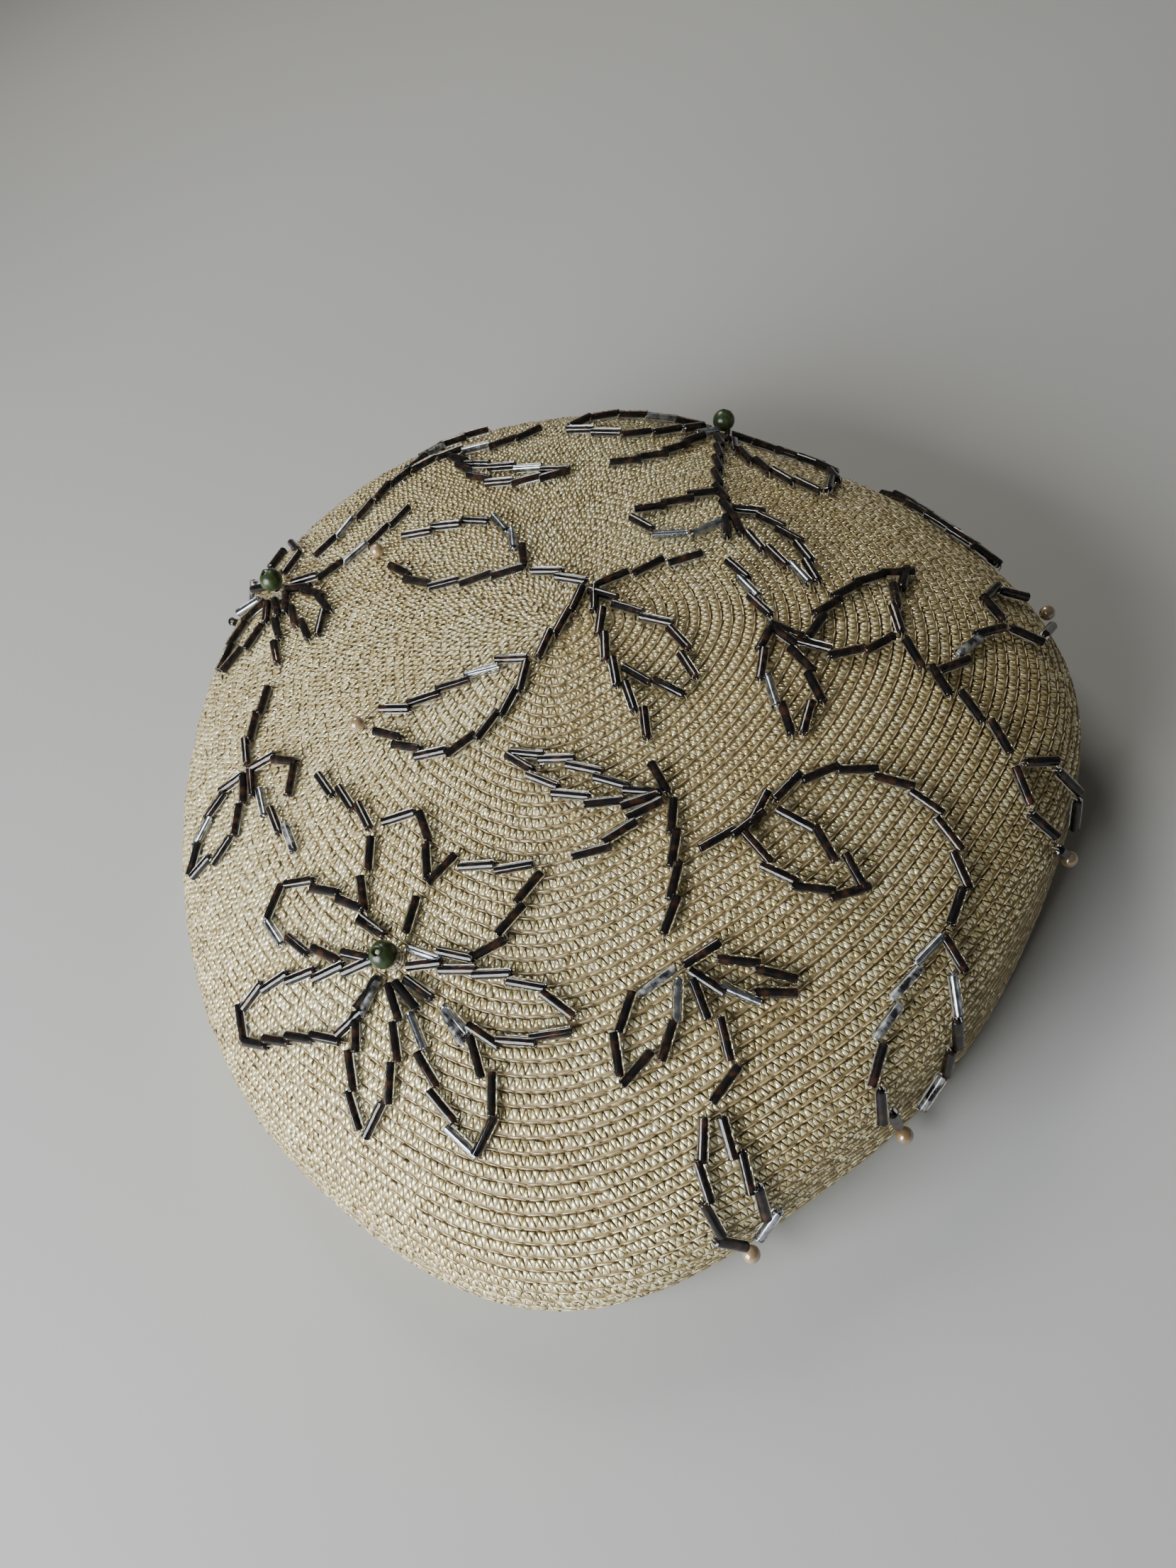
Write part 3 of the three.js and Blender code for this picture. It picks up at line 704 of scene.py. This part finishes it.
# A length of the selvage: a low rounded bar
BAR = np.array([
    [-0.8, -1.0, -0.3], [1.0, -0.9, -0.3], [0.8, 1.0, -0.3], [-1.0, 0.9, -0.3],
    [-0.6, -0.5, 0.9], [0.75, -0.5, 1.0], [0.6, 0.5, 0.9], [-0.75, 0.5, 0.8],
])
BAR_FACES = np.array([
    [4, 5, 6], [4, 6, 7], [0, 1, 5], [0, 5, 4], [1, 2, 6], [1, 6, 5],
    [2, 3, 7], [2, 7, 6], [3, 0, 4], [3, 4, 7], [0, 2, 1], [0, 3, 2],
])


def repeated(shape, faces, centre, long_way, wide_way, out, length, width, height):
    """The same small closed form at each centre, sized and turned."""
    along = (long_way * length[:, None] / 2)[:, None, :] * shape[None, :, 0:1]
    wide = (wide_way * width[:, None] / 2)[:, None, :] * shape[None, :, 1:2]
    high = (out * height[:, None])[:, None, :] * shape[None, :, 2:3]
    points = centre[:, None, :] + along + wide + high
    numbered = faces[None] + (np.arange(len(centre)) * len(shape))[:, None, None]
    return points.reshape(-1, 3), numbered.reshape(-1, 3)


def spiral(step, first, last):
    """Turns of the spiral at stations evenly spaced along it."""
    turns = np.linspace(first, last, int((last - first) * SPIRAL_STEPS) + 1)
    point = read(TABLE, turns * TAU, (turns + 0.5) / ROWS)
    run = np.concatenate([[0], np.cumsum(np.linalg.norm(np.diff(point, axis=0), axis=1))])
    return np.interp(np.arange(step / 2, run[-1], step), run, turns)


def flatness(bearing):
    """How far the ribs have faded: near 0 at their deepest, and 1 where they are gone."""
    return 1 - rib_depth(bearing) / TILE_STEP


def facets(turns, turned, parting):
    """One strand's facets along a row, pointing to the crown's tip or, when turned, to its rim.

    Where the ribs have faded the strands part, each to its own side of the row.
    """
    bearing = turns * TAU
    flat = flatness(bearing)
    looser = 1 + 2 * flat
    across = FACET_ACROSS + (FACET_SHIFT + parting) * flat
    share = (turns + across + rng.normal(0, FACET_STRAY, len(turns)) * looser) / ROWS
    kept = share < 1 - RIM_MARGIN / ROWS
    bearing, share, flat, across, looser = (each[kept] for each in (bearing, share, flat, across, looser))
    count = len(bearing)
    point, along, down, out = crown_frame(bearing, share)
    angle = turned + rng.normal(0, FACET_TWIST, count) * looser
    tilt = FACET_TILT + rng.normal(0, FACET_ROCK, count)
    roll = rng.normal(0, FACET_ROCK, count)
    level = along * np.cos(angle)[:, None] + down * np.sin(angle)[:, None]
    long_way = unit(level + out * tilt[:, None])
    wide_way = unit(np.cross(out, long_way) + out * roll[:, None])
    high = unit(np.cross(long_way, wide_way))
    centre = point + out * tile_lift(bearing, across)[:, None]
    size = rng.normal(1, SIZE_STRAY, count)
    width = (FACET_WIDTH + FACET_WIDENING * flat) * size
    return repeated(
        FACET, FACET_FACES, centre, long_way, wide_way, high, FACET_LENGTH * size, width, FACET_HEIGHT * size)


def selvage(turns):
    """The selvage thread along the foot of each row, where the ribs are deep enough to show it."""
    bearing = turns * TAU
    kept = flatness(bearing) < SELVAGE_FADES_AT
    bearing, share = bearing[kept], (turns[kept] + SELVAGE_ACROSS) / ROWS
    count = len(bearing)
    point, along, down, out = crown_frame(bearing, share)
    angle = rng.normal(SELVAGE_TWIST, SELVAGE_TWIST, count)[:, None]
    long_way = unit(along * np.cos(angle) + down * np.sin(angle))
    wide_way = np.cross(out, long_way)
    centre = point + out * tile_lift(bearing, SELVAGE_ACROSS)[:, None]
    size = rng.normal(1, SIZE_STRAY, count)
    width = SELVAGE_WIDTH * size
    return repeated(
        BAR, BAR_FACES, centre, long_way, wide_way, out, SELVAGE_LENGTH * size, width, SELVAGE_HEIGHT * size)


def merged(parts, size, spread):
    """Parts as one, with a tone for each form in them."""
    points, faces, tones = [], [], []
    total = 0
    for part_points, part_faces in parts:
        points.append(part_points)
        faces.append(part_faces + total)
        total += len(part_points)
        tones.append(np.repeat(rng.beta(*spread, len(part_points) // size), size))
    return np.concatenate(points), np.concatenate(faces), np.concatenate(tones)


def straw_plait():
    """The plait itself, as bands of rows, and the sewn selvage between the rows."""
    for band, (first, last) in enumerate(BANDS):
        turns = spiral(STITCH, first, last)
        between = turns + 0.5 * np.gradient(turns)
        parts = [facets(turns, 0.0, FACET_PARTING), facets(between, math.pi, -FACET_PARTING)]
        points, faces, tones = merged(parts, len(FACET), (1.1, 0.9))
        # Only a facet's top, the first of its faces, is bright straw, lightened towards white as painted
        # highlight; its sunken sides take a darker material as painted shade
        finish = np.ones(len(faces))
        finish[::len(FACET_FACES)] = 0
        piece = new_object(f"straw_plait_{band + 1}", points, faces, [STRAW_AND_PAINTED_HIGHLIGHT, STRAW_SIDE_PAINTED_SHADE], finish, tones)
        dress(piece, "straw_crown")
    turns = spiral(SELVAGE_STITCH, 1.0, ROWS - 1.0)
    points, faces, tones = merged([selvage(turns)], len(BAR), (2.2, 2.0))
    piece = new_object("straw_selvage", points, faces, [SELVAGE], None, tones)
    dress(piece, "straw_crown")


# The strings of beads

def curve_through(stops, samples):
    """The centripetal curve through a string's stops, on the flattened crown."""
    stops = np.asarray(stops, float)
    ends = np.concatenate([[2 * stops[0] - stops[1]], stops, [2 * stops[-1] - stops[-2]]])
    places = []
    for index in range(len(stops) - 1):
        p0, p1, p2, p3 = ends[index:index + 4]
        t0 = math.sqrt(np.linalg.norm(p1 - p0))
        t1 = math.sqrt(np.linalg.norm(p2 - p1))
        t2 = math.sqrt(np.linalg.norm(p3 - p2))
        m1 = t1 * ((p1 - p0) / t0 - (p2 - p0) / (t0 + t1) + (p2 - p1) / t1)
        m2 = t1 * ((p2 - p1) / t1 - (p3 - p1) / (t1 + t2) + (p3 - p2) / t2)
        part = np.linspace(0, 1, samples, endpoint=False)[:, None]
        square = part * part
        cube = square * part
        place = p1 * (2 * cube - 3 * square + 1) + m1 * (cube - 2 * square + part)
        places.append(place + p2 * (3 * square - 2 * cube) + m2 * (cube - square))
    places.append(stops[-1:])
    return np.concatenate(places)


def turned_ring(sides):
    angle = (np.arange(sides) + 0.5) / sides * TAU
    return np.cos(angle), np.sin(angle)


def rod(centre, along, side, up, stations, radii, sides):
    """A closed round bar with rings at its stations, and flat ends."""
    cos, sin = turned_ring(sides)
    around_bar = side * cos[:, None] + up * sin[:, None]
    rings = [centre + along * station + around_bar * radius for station, radius in zip(stations, radii)]
    count = len(rings)
    ring = np.arange(sides)
    after = (ring + 1) % sides
    faces = []
    for row in range(count - 1):
        a, b = row * sides + ring, row * sides + after
        faces.append(np.stack([a, b, a + sides], 1))
        faces.append(np.stack([b, b + sides, a + sides], 1))
    last = (count - 1) * sides
    fan = np.arange(1, sides - 1)
    faces.append(np.stack([0 * fan, fan + 1, fan], 1))
    faces.append(np.stack([last + 0 * fan, last + fan, last + fan + 1], 1))
    return np.concatenate(rings), np.concatenate(faces)


def bar_between(start, end, radius, sides):
    """A plain round bar, turned about itself in a fixed way."""
    along = unit(end - start)
    side = unit(np.cross(along, (0.31, 0.17, 0.93)))
    up = np.cross(along, side)
    length = np.linalg.norm(end - start)
    return rod(start, along, side, up, [0, length / 2, length], [radius, radius, radius], sides)


class Bundle:
    """Gathers parts with different finishes into one piece."""

    def __init__(self):
        self.points = []
        self.faces = []
        self.finish = []
        self.total = 0

    def add(self, part, finish):
        points, faces = part
        self.points.append(points)
        self.faces.append(faces + self.total)
        self.finish.append(np.full(len(faces), finish))
        self.total += len(points)

    def piece(self, name, materials):
        points = np.concatenate(self.points)
        faces = np.concatenate(self.faces)
        return new_object(name, points, faces, materials, np.concatenate(self.finish))


def bugle(bundle, middle, along, side, up, lining):
    """A glass tube with its metal lining, and the thread that comes out of its ends."""
    half = BUGLE_LENGTH / 2 * rng.normal(1, LENGTH_STRAY)
    lip = BUGLE_LIP
    eased = lip + RING_GAP
    stations = [-half, -half + lip, -half + eased, half - eased, half - lip, half]
    radii = [BUGLE_RADIUS - lip] + 4 * [BUGLE_RADIUS] + [BUGLE_RADIUS - lip]
    bundle.add(rod(middle, along, side, up, stations, radii, BUGLE_SIDES), GLASS_FINISH)
    core = half + LINING_SHOWING
    stations = [-core, -core + RING_GAP, core - RING_GAP, core]
    bundle.add(rod(middle, along, side, up, stations, 4 * [LINING_RADIUS], LINING_SIDES), lining)
    for way in (-1, 1):
        start = middle + along * way * (half - THREAD_INSIDE)
        bend = middle + along * way * (half + THREAD_BEND_REACH) - up * THREAD_BEND_DROP
        foot = middle + along * way * (half + THREAD_FOOT_REACH) - up * (BUGLE_HEIGHT - THREAD_INSIDE)
        bundle.add(bar_between(start, bend, THREAD_RADIUS, THREAD_SIDES), THREAD_FINISH)
        bundle.add(bar_between(bend, foot, THREAD_RADIUS, THREAD_SIDES), THREAD_FINISH)


def read_along(run, vectors, place):
    """The vectors given at each length along a string, read at one length."""
    return np.array([np.interp(place, run, vectors[:, axis]) for axis in range(3)])


def string_of_bugles(bundle, stops, hand):
    """Bugles spaced evenly along a string, each stepping a little to the same side."""
    places = curve_through(stops, SAMPLES_PER_STOP)
    bearing, share = on_map(places)
    point, _, _, out = crown_frame(bearing, share)
    run = np.concatenate([[0], np.cumsum(np.linalg.norm(np.diff(point, axis=0), axis=1))])
    count = max(1, round((run[-1] - 2 * END_THREAD) / BUGLE_PITCH))
    pitch = (run[-1] - 2 * END_THREAD + THREAD_SHOWING) / count
    middles = END_THREAD - THREAD_SHOWING / 2 + (np.arange(count) + 0.5) * pitch
    for middle in middles:
        at = read_along(run, point, middle)
        up = unit(read_along(run, out, middle))
        way = read_along(run, point, middle + WAY_STRETCH) - read_along(run, point, middle - WAY_STRETCH)
        way = unit(way - up * (way @ up))
        across = np.cross(up, way)
        angle = hand * math.atan2(BUGLE_SIDESTEP, BUGLE_LENGTH / 2) + rng.normal(0, TURN_STRAY)
        along = way * math.cos(angle) + across * math.sin(angle)
        side = np.cross(up, along)
        centre = at + up * BUGLE_HEIGHT + across * rng.normal(0, PLACE_STRAY)
        lining = rng.choice(LININGS, p=LINING_SHARES)
        bugle(bundle, centre, along, side, up, lining)


def seated(place, height):
    """A point above a place on the flattened crown, and the crown's ways there."""
    bearing, share = on_map(place)
    point, along, down, out = crown_frame(np.array([bearing]), np.array([share]))
    return point[0] + out[0] * height, along[0], down[0], out[0]


def knot_under(bundle, place):
    """Wound thread under a wood bead."""
    point, along, down, out = seated(place, 0)
    for turn in range(KNOT_TURNS):
        height = KNOT_FIRST_HEIGHT + KNOT_RISE * turn
        radius = KNOT_RADIUS - KNOT_NARROWING * turn
        ring = [point + out * height + (along * math.cos(a) + down * math.sin(a)) * radius
                for a in np.linspace(0, TAU, KNOT_SIDES + 1)[:-1]]
        for index in range(KNOT_SIDES):
            after = ring[(index + 1) % KNOT_SIDES]
            thread = bar_between(ring[index], after, KNOT_THREAD_RADIUS, KNOT_THREAD_SIDES)
            bundle.add(thread, THREAD_FINISH)


def bead_sprays():
    for name, strings in STRINGS.items():
        bundle = Bundle()
        for index, stops in enumerate(strings):
            string_of_bugles(bundle, stops, HANDS[index % len(HANDS)])
        for bead, place in WOOD_BEADS.items():
            if bead.replace("wood_bead", "bead_flower") == name:
                knot_under(bundle, place)
        piece = bundle.piece(f"{name}_look", [GLASS, GUNMETAL_AND_BORE_LIGHT, SILVER, WORN, THREAD])
        dress(piece, name)


# Round beads

def turned_bead(centre, along, down, out, radius, bore, sides, steps):
    """A drilled ball: its skin, its eased edge and the wall of its bore."""
    reach = math.acos(bore / radius)
    angle = np.linspace(-reach, reach, steps)
    profile = [(radius * math.cos(a), radius * math.sin(a)) for a in angle]
    top = radius * math.sin(reach)
    profile[0] = (bore * BORE_EASING, -top)
    profile[-1] = (bore * BORE_EASING, top)
    profile.append((bore, top - BORE_CHAMFER))
    profile.append((bore, -top + BORE_CHAMFER))
    cos, sin = turned_ring(sides)
    flat = along * cos[:, None] + down * sin[:, None]
    rings = [centre + flat * wide + out * high for wide, high in profile]
    count = len(rings)
    ring = np.arange(sides)
    after = (ring + 1) % sides
    faces = []
    for row in range(count):
        low = row * sides
        high = ((row + 1) % count) * sides
        faces.append(np.stack([low + ring, high + ring, low + after], 1))
        faces.append(np.stack([low + after, high + ring, high + after], 1))
    return np.concatenate(rings), np.concatenate(faces)


def wood_beads():
    for name, place in WOOD_BEADS.items():
        height = 2 * SEAT_GAP + KNOT_THICKNESS + WOOD_RADIUS
        centre, along, down, out = seated(place, height)
        bundle = Bundle()
        ball = turned_bead(
            centre, along, down, out, WOOD_RADIUS, WOOD_BORE_RADIUS, WOOD_SIDES, WOOD_STEPS)
        foot = centre - out * WOOD_RADIUS
        top = centre + out * (WOOD_RADIUS - WOOD_THREAD_DEPTH)
        bundle.add(ball, 0)
        bundle.add(bar_between(foot, top, WOOD_THREAD_RADIUS, WOOD_THREAD_SIDES), 1)
        piece = bundle.piece(f"{name}_look", [WOOD, THREAD])
        dress(piece, name)


def pearls():
    for name, place in PEARLS.items():
        centre, along, down, out = seated(place, SEAT_GAP + PEARL_RADIUS)
        lean = unit(out + PEARL_LEAN * down)
        side = unit(np.cross(along, lean))
        bundle = Bundle()
        ball = turned_bead(
            centre, along, side, lean, PEARL_RADIUS, PEARL_BORE_RADIUS, PEARL_SIDES, PEARL_STEPS)
        reach = lean * PEARL_RADIUS
        bundle.add(ball, 0)
        bundle.add(bar_between(centre - reach, centre + reach, PEARL_THREAD_RADIUS, PEARL_THREAD_SIDES), 1)
        finish = AMBER if name in AMBER_PEARLS else PEARL
        piece = bundle.piece(f"{name}_look", [finish, THREAD])
        dress(piece, name)


# The stage, with the camera matched to the photo. Its turn is a rotation vector in radians

CAMERA_TURN = (2.451, -0.042, -0.341)
CAMERA_PLACE = np.array([72.8, -194.5, 257.7]) + MIDDLE
FOCAL_PIXELS = 1804.4
FRAME_HEIGHT = 2212
SENSOR = 36.0


def camera_axes():
    """The camera's right, up and back, in the frame of the hat."""
    turn = Vector(CAMERA_TURN)
    seen = Matrix.Rotation(turn.length, 3, turn.normalized())
    return seen[0].copy(), -seen[1], -seen[2]


def make_camera():
    right, up, back = camera_axes()
    data = bpy.data.cameras.new("camera")
    data.sensor_fit = "AUTO"
    data.sensor_width = SENSOR
    data.lens = FOCAL_PIXELS * SENSOR / FRAME_HEIGHT
    data.clip_start = 0.01
    camera = bpy.data.objects.new("camera", data)
    turn = Matrix((right, up, back)).transposed().to_4x4()
    camera.matrix_world = Matrix.Translation(Vector(CAMERA_PLACE * METRES)) @ turn
    bpy.context.scene.collection.objects.link(camera)
    bpy.context.scene.camera = camera


def area_light(name, way, distance, size, power, colour):
    """A soft light in a direction given by the camera's right, up and back."""
    right, up, back = camera_axes()
    towards = (right * way[0] + up * way[1] + back * way[2]).normalized()
    data = bpy.data.lights.new(name, "AREA")
    data.shape = "RECTANGLE"
    data.size, data.size_y = size
    data.energy = power
    data.color = colour
    light = bpy.data.objects.new(name, data)
    turn = towards.to_track_quat("Z", "Y").to_matrix().to_4x4()
    light.matrix_world = Matrix.Translation(towards * distance) @ turn
    bpy.context.scene.collection.objects.link(light)


def make_stage():
    world = bpy.data.worlds.new("world")
    world.use_nodes = True
    background = world.node_tree.nodes["Background"]
    background.inputs["Color"].default_value = (1.0, 0.97, 0.9, 1.0)
    background.inputs["Strength"].default_value = 0.1
    bpy.context.scene.world = world
    bpy.ops.mesh.primitive_plane_add(size=6.0)
    floor = bpy.context.object
    floor.name = "floor"
    stops = [(0.3, (0.38, 0.38, 0.37)), (0.7, (0.41, 0.41, 0.4))]
    material, _, _, shader, _ = noise_coloured("floor", 3.0, 2.0, stops)
    shader.inputs["Roughness"].default_value = 0.8
    floor.data.materials.append(material)
    area_light("window", (-0.74, -0.38, 0.6), 0.82, (0.6, 0.6), 18.5, (0.94, 0.97, 1.0))
    area_light("skylight", (-0.45, 1.0, 0.15), 1.1, (0.4, 0.4), 5.2, (1.0, 0.98, 0.92))


straw_shell()
straw_plait()
bead_sprays()
wood_beads()
pearls()
make_camera()
make_stage()
